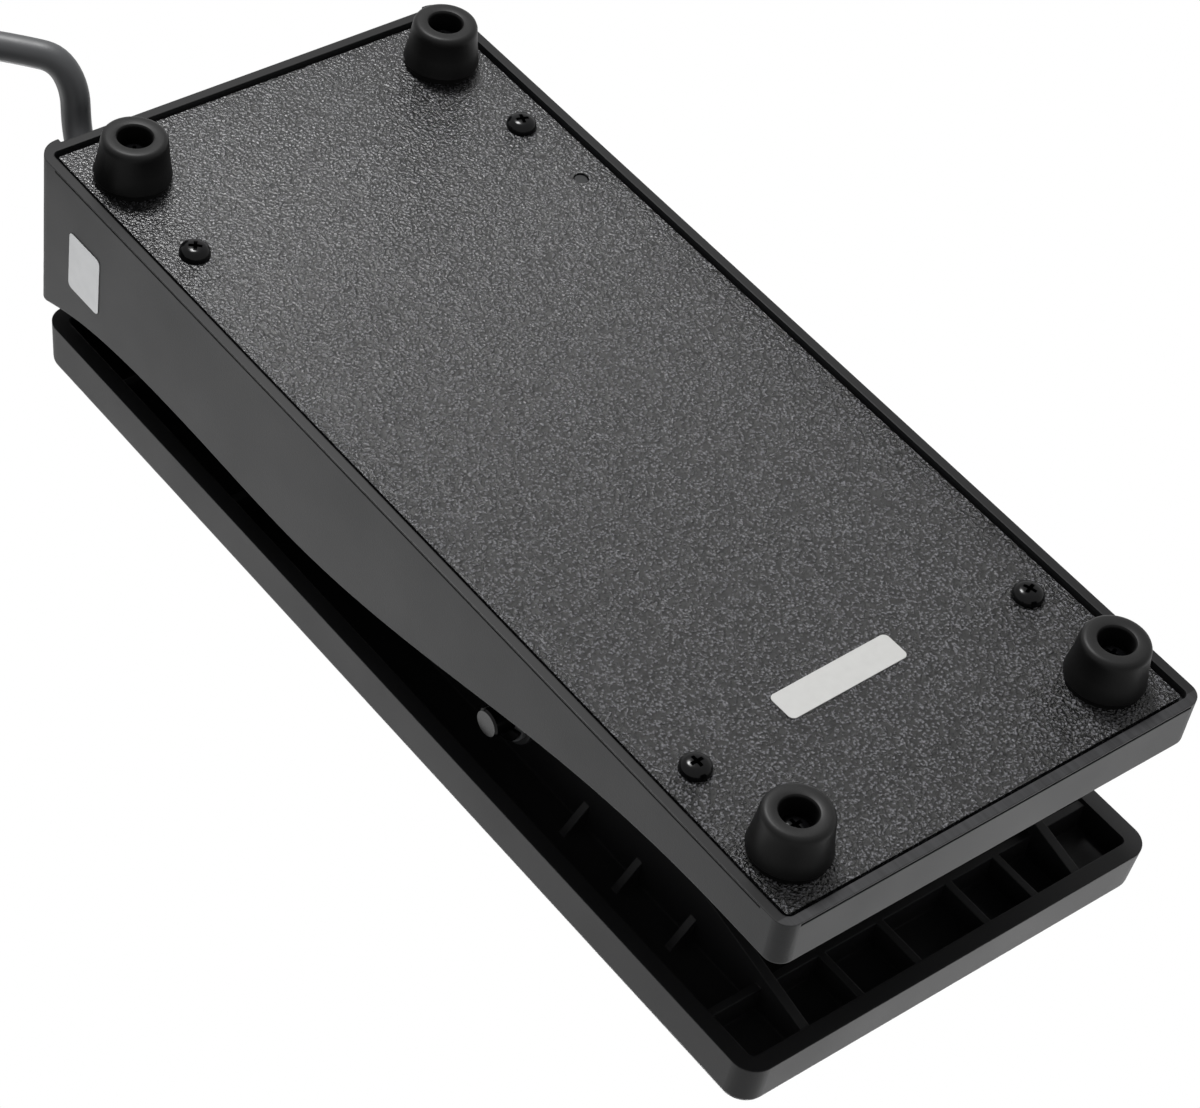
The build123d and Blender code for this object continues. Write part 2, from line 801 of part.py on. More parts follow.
def pot_wafer():
    back = bracket_x + bracket_sheet + pot_depth
    disc = crosswise(pot_r - pot_wall, back - wafer, back, pot_y, pot_z)
    half = terminal_pitch + wafer_edge
    tail = block(back, back + wafer, pot_y, pot_y + pot_r + wafer_edge, pot_z - half, pot_z + half)
    return disc + tail


wiper_start = bracket_x + bracket_sheet + pot_wall + wiper_gap
terminal_x = bracket_x + bracket_sheet + pot_depth + wafer
terminal_tip = pot_y + pot_r + terminal_reach


def pot_terminals():
    pins = []
    for step in (-1, 0, 1):
        z = pot_z + step * terminal_pitch
        half = terminal_width / 2
        pins.append(block(terminal_x, terminal_x + terminal_sheet, terminal_tip - 2 * terminal_reach,
                          terminal_tip, z - half, z + half))
    return pins


def pot_shaft():
    end = wiper_start + wiper_height + shaft_past_wiper
    rod = crosswise(shaft_r, -pinion_width / 2 - shaft_past_pinion, end, pot_y, pot_z)
    return chamfer(rod.edges().group_by(Axis.X)[0], shaft_edge)


def pot_wiper():
    end = wiper_start + wiper_height
    disc = crosswise(wiper_r, wiper_start, end, pot_y, pot_z)
    return disc - crosswise(shaft_r, wiper_start, end, pot_y, pot_z)


def pot_bracket():
    high = pot_z + bracket_half - bracket_top_drop
    upright_sheet = block(bracket_x, bracket_x + bracket_sheet, pot_y - bracket_half,
                          pot_y + bracket_half, bracket_foot_z, high)
    foot_sheet = block(bracket_x, bracket_x + bracket_foot, pot_y - bracket_half,
                       pot_y + bracket_half, bracket_foot_z, bracket_foot_z + bracket_sheet)
    sheet = upright_sheet + foot_sheet
    sheet -= crosswise(bush_thread_r, bracket_x - over, bracket_x + bracket_sheet + over, pot_y, pot_z)
    for side in (-1, 1):
        sheet -= upright(screw_r + screw_clear, post_x, pot_y + side * post_spread,
                         bracket_foot_z - over, bracket_foot_z + bracket_sheet + over)
    return sheet


def pot_nut():
    start = bracket_x - pot_washer_height - pot_nut_height
    nut = Pos(start, pot_y, pot_z) * Rot(0, 90, 0) * hexagon(pot_nut_flats, pot_nut_height)
    return nut - crosswise(bush_thread_r, start - over, bracket_x, pot_y, pot_z)


def pot_washer():
    ring = crosswise(pot_washer_r, bracket_x - pot_washer_height, bracket_x, pot_y, pot_z)
    return ring - crosswise(bush_thread_r, bracket_x - over, bracket_x, pot_y, pot_z)


def bend_radii(points):
    """Radius at each inner point: 0.45 of the shorter run over the tangent of half the turn."""
    radii = []
    for before, here, after in zip(points, points[1:], points[2:]):
        run_in = Vector(*here) - Vector(*before)
        run_out = Vector(*after) - Vector(*here)
        turn = radians(run_in.get_angle(run_out))
        radii.append(0.45 * min(run_in.length, run_out.length) / tan(turn / 2))
    return radii


def tube(points, radius, name):
    radii = bend_radii(points)
    path = FilletPolyline(*points, radius=radii)
    start = Plane(origin=points[0], z_dir=path % 0)
    solid = sweep(start * Circle(radius), path=path)
    share = solid.volume / (pi * radius ** 2 * path.length)
    print(name, "length", round(path.length, 1), "radii", [round(r, 1) for r in radii],
          "volume over section times length", round(share, 4))
    return solid, path.length


def wires():
    """Three insulated cores from the end of the cable's jacket to the terminals."""
    start_y = base_toe - lead_in_end - 2 * face_gap
    run = start_y - terminal_tip
    near, far = wire_shares
    cores = []
    for step, name in ((-1, "ground"), (0, "wiper"), (1, "supply")):
        z = pot_z + step * terminal_pitch
        x = terminal_x + terminal_sheet / 2
        start_x = cable_x + step * wire_spread
        points = [
            (start_x, start_y, cable_z),
            (start_x - wire_inboard[0], start_y - near * run, cable_z),
            (start_x - wire_inboard[1], start_y - far * run, (cable_z + z) / 2),
            (x, terminal_tip + near * run, z),
            (x, terminal_tip, z),
        ]
        cores.append(("wire_" + name, tube(points, wire_r, "wire " + name)[0]))
    return cores


def lengthwise(radius, x, z, y_from, y_to):
    """Round bar along Y."""
    bar = Cylinder(radius, y_to - y_from, align=(Align.CENTER, Align.CENTER, Align.MIN))
    return Pos(x, y_from, z) * Rot(-90, 0, 0) * bar


def cable_grommet():
    """Rubber grommet: a flange on each side of the toe wall."""
    outer = base_toe - toe_panel_depth
    inner = base_toe - wall - side_draft * (cable_z - rim_z)
    body = lengthwise(grommet_r, cable_x, cable_z, inner - grommet_flange, base_toe)
    body += lengthwise(grommet_flange_r, cable_x, cable_z, outer, base_toe)
    body += lengthwise(grommet_flange_r, cable_x, cable_z, inner - grommet_flange, inner - grommet_seat)
    return body - lengthwise(cable_r, cable_x, cable_z, inner - 2 * grommet_flange, base_toe + over)


def cable_lead_in():
    return lengthwise(cable_r, cable_x, cable_z, base_toe - lead_in_end, base_toe)


def cable_clamp():
    clamp_y = base_toe - clamp_from_toe
    half = clamp_width / 2
    top = cable_z - cable_r
    bar = block(clamp_screw_x - clamp_end, cable_x + clamp_reach, clamp_y - half, clamp_y + half,
                top - clamp_bar, top)
    bar = fillet(bar.edges().filter_by(Axis.Z), clamp_corner)
    return bar - upright(screw_r + screw_clear, clamp_screw_x, clamp_y, top - clamp_bar - over, top + over)


def cable_coil():
    ring = upright(coil_outer, coil_x, coil_y, 0, coil_height)
    ring -= upright(coil_inner, coil_x, coil_y, -over, coil_height + over)
    return fillet(ring.edges(), coil_edge)


def coil_tie():
    """Strap round the bundle of turns, on the side away from the plug."""
    middle = (coil_outer + coil_inner) / 2
    half = (coil_outer - coil_inner) / 2
    outline = RectangleRounded(2 * (half + tie_thickness), coil_height + tie_thickness, cable_r)
    inside = RectangleRounded(2 * half, coil_height - tie_thickness, coil_edge)
    strap = extrude(Plane.XZ * Pos(0, coil_height / 2) * (outline - inside), tie_width / 2, both=True)
    return Pos(coil_x - middle, coil_y, tie_thickness / 2) * strap


def plug_piece(profile, start):
    """Turned piece on the plug's axis; profile is radius against distance from start."""
    points = [(0, profile[0][0])] + [(r, d) for d, r in profile] + [(0, profile[-1][0])]
    body = revolve(Plane.XZ * make_face(Polyline(*points, close=True)), Axis.Z)
    return Pos(plug_x, start, plug_z) * Rot(90, 0, 0) * body


plug_x = tail_route[-1][0]


def plug_nodes():
    boot_start = tail_route[-1][1]
    rear = boot_start - boot_length
    front = rear - handle_length
    boot = plug_piece([(0, cable_r + boot_wall), (boot_length, boot_r)], boot_start)
    handle = plug_piece([(0, boot_r), (handle_shoulder, handle_r), (handle_length - handle_edge, handle_r),
                         (handle_length, handle_r - handle_edge)], rear)
    collar = plug_piece([(0, collar_r), (collar_length, collar_r)], front)
    grip = boot + handle
    sleeve_start = front - collar_length
    sleeve = collar + plug_piece([(0, plug_r), (sleeve_length, plug_r)], sleeve_start)
    place = sleeve_start - sleeve_length
    pieces = [("plug_handle", grip), ("plug_sleeve", sleeve)]
    pieces.append(("plug_insulator_rear", plug_piece([(0, plug_r), (insulator_length, plug_r)], place)))
    place -= insulator_length
    pieces.append(("plug_ring", plug_piece([(0, plug_r), (ring_length, plug_r)], place)))
    place -= ring_length
    pieces.append(("plug_insulator_front", plug_piece([(0, plug_r), (insulator_length, plug_r)], place)))
    place -= insulator_length
    pieces.append(("plug_tip", plug_piece(tip_profile, place)))
    print("plug sleeve starts at", round(plug_x, 3), round(sleeve_start, 3))
    return pieces


def serial_label():
    outline = RectangleRounded(*serial_size, serial_corner)
    sheet = extrude(outline, label_sheet)
    return Pos(serial_x, base_heel + serial_from_heel, plate_z - label_sheet) * Rot(0, 0, serial_turn) * sheet


def side_label():
    """Sticker on the right wall, cut from a skin over the wall."""
    skin = housing_form(-label_sheet, 0, rim_z) - housing_solid
    outline = RectangleRounded(*side_size, side_corner)
    window = side_plate(Pos(base_toe - side_from_toe, rim_z + side_rise) * outline, 0, base_width)
    return skin & window


def stops():
    toe_y = base_toe - toe_stop_from_toe
    heel_y = base_heel + heel_stop_from_heel
    swing = radians(travel)
    reach = []
    for y in (heel_y - stop_r - stop_play, heel_y + stop_r + stop_play):
        away = y - pivot_y
        drop = fin_bottom(y) - pivot_z
        reach.append(pivot_z + away * sin(swing) + drop * cos(swing))
    heel_top = min(reach) - stop_gap
    low = plate_top
    pads = []
    for side, name in ((1, "right"), (-1, "left")):
        pads.append(("toe_stop_" + name, stop(side * fin_x, toe_y, low, rib_z - stop_gap)))
        pads.append(("heel_stop_" + name, stop(side * fin_x, heel_y, low, heel_top)))
    return pads


os.makedirs("parts", exist_ok=True)
save(housing_part, "base_housing")
save(bottom_plate(), "bottom_plate")
save(group(pan_screw(x, y, plate_z) for _, x, y in screw_spots), "plate_screws")
for name, x, y in foot_spots:
    save(foot(x, y), "foot_" + name)
washer_z = foot_height - foot_floor - washer_height
save(group(upright(washer_r, x, y, washer_z, washer_z + washer_height)
           - upright(screw_r, x, y, washer_z - over, washer_z + washer_height + over)
           for _, x, y in foot_spots), "foot_washers")
save(group(pan_screw(x, y, washer_z, foot_screw_length) for _, x, y in foot_spots), "foot_screws")
save(group(Pos(x, y, plate_top) * hexagon(nut_flats, nut_height)
           - upright(screw_r, x, y, plate_top - over, plate_top + nut_height + over)
           for _, x, y in foot_spots), "foot_nuts")
save(serial_label(), "serial_label")
save(side_label(), "side_label")
save(hinge_bush(1), "hinge_bush_right")
save(hinge_bush(-1), "hinge_bush_left")
save(pot_bracket(), "pot_bracket")
save(group(pan_screw(post_x, pot_y + side * post_spread, bracket_foot_z) for side in (-1, 1)),
     "bracket_screws")
save(pot_body(), "pot_body")
save(pot_wafer(), "pot_wafer")
save(group(pot_terminals()), "pot_terminals")
save(pot_washer(), "pot_washer")
save(pot_nut(), "pot_nut")
for name, core in wires():
    save(core, name)
save(cable_grommet(), "cable_grommet")
save(cable_lead_in(), "cable_lead_in")
save(cable_clamp(), "cable_clamp")
save(pan_screw(clamp_screw_x, base_toe - clamp_from_toe, cable_z - cable_r - clamp_bar), "clamp_screw")
for name, pad in stops():
    save(pad, name)
save(treadle(), "treadle")
save(tread_mat(), "tread_mat")
save(gear_sector(), "gear_sector")
save(group(pan_screw(side * sector_screw_x, sector_mid, floor_z - sector_boss - flange_thickness)
           for side in (-1, 1)), "sector_screws")
save(axle(), "axle")
save(group(axle_clips()), "axle_clips")
save(group(hinge_washers()), "hinge_washers")
save(pot_shaft(), "pot_shaft")
save(pinion(), "pot_pinion")
save(pot_wiper(), "pot_wiper")
cable, free_length = tube(cable_route, cable_r, "cable")
tail, tail_length = tube(tail_route, cable_r, "cable tail")
save(cable, "cable")
save(tail, "cable_tail")
save(cable_coil(), "cable_coil")
save(coil_tie(), "coil_tie")
for name, piece in plug_nodes():
    save(piece, name)
turn_length = 2 * pi * (coil_line_r - layer_turns / 2 * turn_pitch)
print("length left for the coil", round(cable_length - free_length - tail_length, 1),
      "wound length", round(coil_layers * layer_turns * turn_length, 1))
print("pivot", round(pivot_y, 3), pivot_z, "pot axis", round(pot_y, 3), round(pot_z, 3))
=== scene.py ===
import math

import bmesh
import bpy
from mathutils import Matrix, Vector


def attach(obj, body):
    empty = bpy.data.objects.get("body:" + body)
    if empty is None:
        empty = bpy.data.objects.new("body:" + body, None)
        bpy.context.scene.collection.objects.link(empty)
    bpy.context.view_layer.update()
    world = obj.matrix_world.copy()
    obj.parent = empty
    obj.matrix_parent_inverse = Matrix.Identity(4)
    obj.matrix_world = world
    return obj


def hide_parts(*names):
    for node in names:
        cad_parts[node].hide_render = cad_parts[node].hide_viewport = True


# Expression pedal, seen from below: an ABS housing on rubber feet under a treadle that
# rocks on an axle. Metres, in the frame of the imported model.
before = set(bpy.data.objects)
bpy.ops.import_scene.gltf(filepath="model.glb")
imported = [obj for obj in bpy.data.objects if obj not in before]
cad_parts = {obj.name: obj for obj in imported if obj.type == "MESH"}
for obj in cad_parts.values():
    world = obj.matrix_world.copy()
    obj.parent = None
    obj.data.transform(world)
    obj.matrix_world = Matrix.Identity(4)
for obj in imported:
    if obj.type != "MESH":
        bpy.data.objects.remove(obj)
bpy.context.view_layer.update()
scene = bpy.context.scene
scene.view_settings.view_transform = "Standard"

# Camera: a long lens under the heel, looking up at the bottom plate, with the toe at the
# upper left of the picture.
camera_place = Vector((0.36386, -0.35506, -0.45947))
camera_right = Vector((-0.77606, -0.61538, -0.13795))
camera_up = Vector((-0.36643, 0.61802, -0.69555))
camera_data = bpy.data.cameras.new("camera")
camera_data.lens = 110.96
camera_data.sensor_width = 36.0
camera_data.sensor_fit = "HORIZONTAL"
camera_data.clip_start = 0.05
camera_data.clip_end = 20.0
camera = bpy.data.objects.new("camera", camera_data)
scene.collection.objects.link(camera)
camera_back = camera_right.cross(camera_up)
camera_turn = Matrix((camera_right, camera_up, camera_back)).transposed().to_4x4()
camera.matrix_world = Matrix.Translation(camera_place) @ camera_turn
scene.camera = camera

# Cable: 6 mm round flexible cord, PVC sheath over a braided screen, 1.8 m long. It leaves
# the toe wall through a grommet, drops to the floor, and is stored as a four-layer coil.
cable_radius = 0.003
cable_exit = (0.036, 0.11405, 0.020)
cable_start = [
    cable_exit,
    (0.036, 0.119, 0.020),
    (0.0346, 0.1235, 0.016),
    (0.0334, 0.1263, 0.009),
    (0.0352, 0.13, 0.0036),
    (0.0395, 0.134, 0.003),
    (0.046, 0.1405, 0.003),
    (0.0575, 0.1491, 0.003),
    (0.073, 0.1571, 0.003),
]
coil_middle = Vector((0.1038, 0.1252, 0.0))
coil_line_radius = 0.03805
coil_first_angle = 103.0
coil_layers = 4
layer_turns = (coil_first_angle / 360 + 8) / coil_layers
turn_pitch = 0.00615
layer_rise = 0.00605
climb_turns = 0.3
points_per_turn = 24
cable_end = [
    (0.1422, 0.1152, 0.02115),
    (0.142, 0.1055, 0.0187),
    (0.1406, 0.0854, 0.008),
    (0.14, 0.0757, 0.0056),
    (0.14, 0.0657, 0.0056),
]


def coil_point(turn):
    """Point of the coil: its layers run inwards and outwards in turn, from the floor up."""
    layer, along = divmod(turn, layer_turns)
    inward = along if layer % 2 == 0 else layer_turns - along
    radius = coil_line_radius - turn_pitch * inward
    angle = math.radians(coil_first_angle - 360 * turn)
    height = cable_radius
    for change in range(1, coil_layers):
        share = (turn - change * layer_turns + climb_turns) / (2 * climb_turns)
        share = min(max(share, 0), 1)
        height += layer_rise * share * share * (3 - 2 * share)
    return coil_middle + Vector((radius * math.cos(angle), radius * math.sin(angle), height))


coil_turns = coil_layers * layer_turns
coil_steps = int(coil_turns * points_per_turn)
coil_points = [coil_point(step * coil_turns / coil_steps) for step in range(coil_steps)]
coil_top = cable_radius + (coil_layers - 1) * layer_rise
coil_points.append(coil_middle + Vector((coil_line_radius, 0, coil_top)))
cable_points = [Vector(p) for p in cable_start] + coil_points + [Vector(p) for p in cable_end]

# Each point carries the cable's radius itself, which keeps the curve's own box tight.
cable_curve = bpy.data.curves.new("cable_cord", "CURVE")
cable_curve.dimensions = "3D"
cable_curve.bevel_depth = 1.0
cable_curve.bevel_resolution = 6
cable_curve.resolution_u = 6
cable_curve.use_fill_caps = True
cable_line = cable_curve.splines.new("NURBS")
cable_line.points.add(len(cable_points) - 1)
for knot, place in zip(cable_line.points, cable_points):
    knot.co = (*place, 1.0)
    knot.radius = cable_radius
cable_line.order_u = 3
cable_line.use_endpoint_u = True
cable_cord = bpy.data.objects.new("cable_cord", cable_curve)
scene.collection.objects.link(cable_cord)
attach(cable_cord, "base")
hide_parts("cable", "cable_tail", "cable_coil")


def linear(code):
    """Linear colour of an sRGB hex code."""
    parts = [int(code[index:index + 2], 16) / 255 for index in (0, 2, 4)]
    return [p / 12.92 if p <= 0.04045 else ((p + 0.055) / 1.055) ** 2.4 for p in parts] + [1.0]


def new_material(name):
    material = bpy.data.materials.new(name)
    material.use_nodes = True
    material.node_tree.nodes.clear()
    return material, material.node_tree


def add_node(tree, kind, settings=None, values=None, links=None):
    """Add a shader node, with each link from another node's output to one of its inputs."""
    node = tree.nodes.new(kind)
    for name, value in (settings or {}).items():
        setattr(node, name, value)
    for socket, value in (values or {}).items():
        node.inputs[socket].default_value = value
    for socket, (source, output) in (links or {}).items():
        tree.links.new(source.outputs[output], node.inputs[socket])
    return node


def give_finish(material, *nodes):
    """Put a finish on CAD nodes that keep their own mesh."""
    for name in nodes:
        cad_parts[name].data.materials.clear()
        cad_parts[name].data.materials.append(material)


# The sheath is extruded flexible PVC: smooth, slightly waxy, with the screen's lay and
# handling marks showing faintly.
sheath, tree = new_material("extruded flexible PVC")
place = add_node(tree, "ShaderNodeTexCoord")
marks = add_node(tree, "ShaderNodeTexNoise", values={"Scale": 1 / 0.004, "Detail": 4.0},
                 links={"Vector": (place, "Object")})
tone = add_node(tree, "ShaderNodeMix", {"data_type": "RGBA"},
                {6: linear("2e2f31"), 7: linear("3a3b3d")}, {0: (marks, "Fac")})
shine = add_node(tree, "ShaderNodeMapRange", values={"To Min": 0.42, "To Max": 0.58},
                 links={"Value": (marks, "Fac")})
skin = add_node(tree, "ShaderNodeTexNoise", values={"Scale": 1 / 0.0006, "Detail": 2.0},
                links={"Vector": (place, "Object")})
relief = add_node(tree, "ShaderNodeBump", values={"Strength": 0.15, "Distance": 0.0001},
                  links={"Height": (skin, "Fac")})
body = add_node(tree, "ShaderNodeBsdfPrincipled", values={"IOR": 1.53},
                links={"Base Color": (tone, 2), "Roughness": (shine, 0), "Normal": (relief, 0)})
add_node(tree, "ShaderNodeOutputMaterial", links={"Surface": (body, 0)})
cable_curve.materials.append(sheath)
give_finish(sheath, "cable_lead_in")

# Housing: one moulding in black ABS with a fine spark-eroded grain. Its rim round the bottom
# plate is trimmed smooth, with file marks across the strip at the heel.
rim_top = 0.00964
heel_strip_end = -0.1117
housing_abs, tree = new_material("moulded black ABS")
place = add_node(tree, "ShaderNodeTexCoord")
axes = add_node(tree, "ShaderNodeSeparateXYZ", links={0: (place, "Object")})
on_rim = add_node(tree, "ShaderNodeMath", {"operation": "LESS_THAN"}, {1: rim_top}, {0: (axes, "Z")})
at_heel = add_node(tree, "ShaderNodeMath", {"operation": "LESS_THAN"}, {1: heel_strip_end},
                   {0: (axes, "Y")})
filed = add_node(tree, "ShaderNodeMath", {"operation": "MULTIPLY"}, links={0: (on_rim, 0), 1: (at_heel, 0)})
grain = add_node(tree, "ShaderNodeTexNoise",
                 values={"Scale": 1 / 0.00035, "Detail": 3.0, "Roughness": 0.65},
                 links={"Vector": (place, "Object")})
clouds = add_node(tree, "ShaderNodeTexNoise", values={"Scale": 1 / 0.02, "Detail": 5.0},
                  links={"Vector": (place, "Object")})
across = add_node(tree, "ShaderNodeMapping", values={"Scale": (1 / 0.0011, 1 / 0.03, 1 / 0.03)},
                  links={"Vector": (place, "Object")})
strokes = add_node(tree, "ShaderNodeTexNoise", values={"Scale": 1.0, "Detail": 3.0, "Roughness": 0.7},
                   links={"Vector": (across, 0)})
file_marks = add_node(tree, "ShaderNodeMath", {"operation": "MULTIPLY"},
                      links={0: (strokes, "Fac"), 1: (filed, 0)})
tone = add_node(tree, "ShaderNodeMix", {"data_type": "RGBA"},
                {6: linear("19191a"), 7: linear("242526")}, {0: (clouds, "Fac")})
# The rim strip's colour is darkened to near black: painted shade, for the housing's shadow and the dark its
# smooth face reflects.
tone = add_node(tree, "ShaderNodeMix", {"data_type": "RGBA"}, {7: linear("080809")},
                {0: (on_rim, 0), 6: (tone, 2)})
tone = add_node(tree, "ShaderNodeMix", {"data_type": "RGBA"}, {7: linear("404042")},
                {0: (file_marks, 0), 6: (tone, 2)})
shine = add_node(tree, "ShaderNodeMapRange", values={"To Min": 0.46, "To Max": 0.58},
                 links={"Value": (clouds, "Fac")})
shine = add_node(tree, "ShaderNodeMix", {"data_type": "FLOAT"}, {3: 0.36}, {0: (on_rim, 0), 2: (shine, 0)})
height = add_node(tree, "ShaderNodeMix", {"data_type": "FLOAT"},
                  links={0: (on_rim, 0), 2: (grain, "Fac"), 3: (file_marks, 0)})
edge = add_node(tree, "ShaderNodeBevel", {"samples": 4}, {"Radius": 0.0003})
relief = add_node(tree, "ShaderNodeBump", values={"Strength": 0.35, "Distance": 0.0001},
                  links={"Height": (height, 0), "Normal": (edge, 0)})
body = add_node(tree, "ShaderNodeBsdfPrincipled", values={"IOR": 1.54, "Specular IOR Level": 0.18},
                links={"Base Color": (tone, 2), "Roughness": (shine, 0), "Normal": (relief, 0)})
add_node(tree, "ShaderNodeOutputMaterial", links={"Surface": (body, 0)})
give_finish(housing_abs, "base_housing")

# Bottom plate: 1.2 mm steel sheet with a wrinkle powder coat, whose hard glossy grains lie
# about 0.7 mm apart and catch the light one by one, helped by a painted highlight on each grain's
# top and painted shade in the hollows between them. The painted light and the relief grow towards the heel.
powder, tree = new_material("wrinkle powder coat on steel")
place = add_node(tree, "ShaderNodeTexCoord")
wander = add_node(tree, "ShaderNodeTexNoise", values={"Scale": 1 / 0.0008, "Detail": 1.0},
                  links={"Vector": (place, "Object")})
bend = add_node(tree, "ShaderNodeVectorMath", {"operation": "MULTIPLY_ADD"}, {1: (0.0005, 0.0005, 0.0005)},
                {0: (wander, "Color"), 2: (place, "Object")})
cells = add_node(tree, "ShaderNodeTexVoronoi", {"feature": "F1"}, {"Scale": 1 / 0.0007},
                 {"Vector": (bend, 0)})
fine = add_node(tree, "ShaderNodeTexNoise", values={"Scale": 1 / 0.0004, "Detail": 2.0},
                links={"Vector": (place, "Object")})
height = add_node(tree, "ShaderNodeMath", {"operation": "MULTIPLY_ADD"}, {1: -0.8},
                  {0: (cells, "Distance"), 2: (fine, "Fac")})
grains = add_node(tree, "ShaderNodeMapRange", values={"From Min": 0.1, "From Max": 0.42},
                  links={"Value": (height, 0)})
patches = add_node(tree, "ShaderNodeTexNoise", values={"Scale": 1 / 0.006, "Detail": 3.0},
                   links={"Vector": (place, "Object")})
along = add_node(tree, "ShaderNodeSeparateXYZ", links={0: (place, "Object")})
# Share that grows from toe to heel: it sets the bump's strength and how much painted grain light and shade
# the colour carries.
heelward_share = add_node(tree, "ShaderNodeMapRange", values={"From Min": 0.09, "From Max": -0.09, "To Min": 0.4},
                 links={"Value": (along, "Y")})
# Light grey on the grain tops and near black between them: a painted highlight on each grain and painted
# shade in the hollows.
painted_grain_light = add_node(tree, "ShaderNodeMix", {"data_type": "RGBA"},
                  {6: linear("020202"), 7: linear("646468")}, {0: (grains, 0)})
tone = add_node(tree, "ShaderNodeMix", {"data_type": "RGBA"}, {6: linear("19191a")},
                {0: (heelward_share, 0), 7: (painted_grain_light, 2)})
shine = add_node(tree, "ShaderNodeMapRange", values={"To Min": 0.16, "To Max": 0.3},
                 links={"Value": (patches, "Fac")})
relief = add_node(tree, "ShaderNodeBump", values={"Distance": 0.0004},
                  links={"Height": (height, 0), "Strength": (heelward_share, 0)})
body = add_node(tree, "ShaderNodeBsdfPrincipled", values={"IOR": 1.5, "Specular IOR Level": 0.32},
                links={"Base Color": (tone, 2), "Roughness": (shine, 0), "Normal": (relief, 0)})
add_node(tree, "ShaderNodeOutputMaterial", links={"Surface": (body, 0)})
give_finish(powder, "bottom_plate")

# Screws: M3 pan heads with a cross recess, heat-treated steel with a bright black oxide.
# Four hold the plate; the feet, the bracket, the clamp and the toothed sector have their own.
head_radius = 0.0031
head_height = 0.0021
shank_radius = 0.00145
recess_depth = 0.0013
recess_reach = 0.0019
recess_width = 0.001
recess_taper = (0.45, 0.5, 1.0)
screw_length = 0.008
screw_sides = 40
first_turn = 37
turn_step = 71


def link_mesh(bm, name):
    """Mesh object from a bmesh, shaded smooth but for its sharp edges."""
    sharp = math.radians(32)
    for face in bm.faces:
        face.smooth = True
    for edge in bm.edges:
        edge.smooth = edge.calc_face_angle(0.0) < sharp
    mesh = bpy.data.meshes.new(name)
    bm.to_mesh(mesh)
    bm.free()
    piece = bpy.data.objects.new(name, mesh)
    scene.collection.objects.link(piece)
    return piece


def turned(profile, steps, name):
    """Piece turned on the Z axis from a closed profile of radius and height."""
    bm = bmesh.new()
    corners = [bm.verts.new((radius, 0, height)) for radius, height in profile]
    loop = [bm.edges.new(pair) for pair in zip(corners, corners[1:] + corners[:1])]
    bmesh.ops.spin(bm, geom=corners + loop, cent=(0, 0, 0), axis=(0, 0, 1), angle=math.tau,
                   steps=steps, use_merge=True)
    bmesh.ops.remove_doubles(bm, verts=bm.verts, dist=1e-7)
    bmesh.ops.recalc_face_normals(bm, faces=bm.faces)
    return link_mesh(bm, name)


def cut(piece, cutter):
    """Cut one mesh out of another, and drop the cutter."""
    modifier = piece.modifiers.new("cut", "BOOLEAN")
    modifier.object = cutter
    modifier.operation = "DIFFERENCE"
    modifier.solver = "EXACT"
    graph = bpy.context.evaluated_depsgraph_get()
    shaped = bpy.data.meshes.new_from_object(piece.evaluated_get(graph))
    piece.modifiers.clear()
    piece.data = shaped
    bpy.data.objects.remove(cutter)


def screw_shape(length):
    """Pan head screw, its head's flat on z = 0 and its shank upwards."""
    profile = [
        (0.0, -head_height), (0.0009, -head_height), (0.0018, -0.00198), (0.0025, -0.00165),
        (0.00295, -0.00115), (head_radius, -0.0005), (head_radius, -0.00012), (0.00302, 0.0),
        (shank_radius, 0.0), (shank_radius, length - 0.0005), (0.001, length), (0.0, length),
    ]
    screw = turned(profile, screw_sides, "screw_shape")
    for quarter in (0, 90):
        bm = bmesh.new()
        bmesh.ops.create_cube(bm, size=1.0)
        bmesh.ops.scale(bm, vec=(2 * recess_reach, recess_width, 2 * recess_depth), verts=bm.verts)
        inner = [v for v in bm.verts if v.co.z > 0]
        bmesh.ops.scale(bm, vec=recess_taper, verts=inner)
        bmesh.ops.rotate(bm, cent=(0, 0, 0), matrix=Matrix.Rotation(math.radians(quarter), 3, "Z"),
                         verts=bm.verts)
        bmesh.ops.translate(bm, vec=(0, 0, -head_height), verts=bm.verts)
        cut(screw, link_mesh(bm, "recess"))
    return screw


def screw_set(name, body, seats, finish, length=screw_length):
    """One piece of several screws, each at a seat and turned as it was tightened."""
    screw = screw_shape(length)
    bm = bmesh.new()
    for index, seat in enumerate(seats):
        before = len(bm.verts)
        bm.from_mesh(screw.data)
        bm.verts.ensure_lookup_table()
        fresh = bm.verts[before:]
        turn = math.radians(first_turn + turn_step * index)
        bmesh.ops.rotate(bm, cent=(0, 0, 0), matrix=Matrix.Rotation(turn, 3, "Z"), verts=fresh)
        bmesh.ops.translate(bm, vec=seat, verts=fresh)
    bpy.data.objects.remove(screw)
    piece = link_mesh(bm, name + "_set")
    piece.data.materials.append(finish)
    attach(piece, body)
    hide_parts(name)


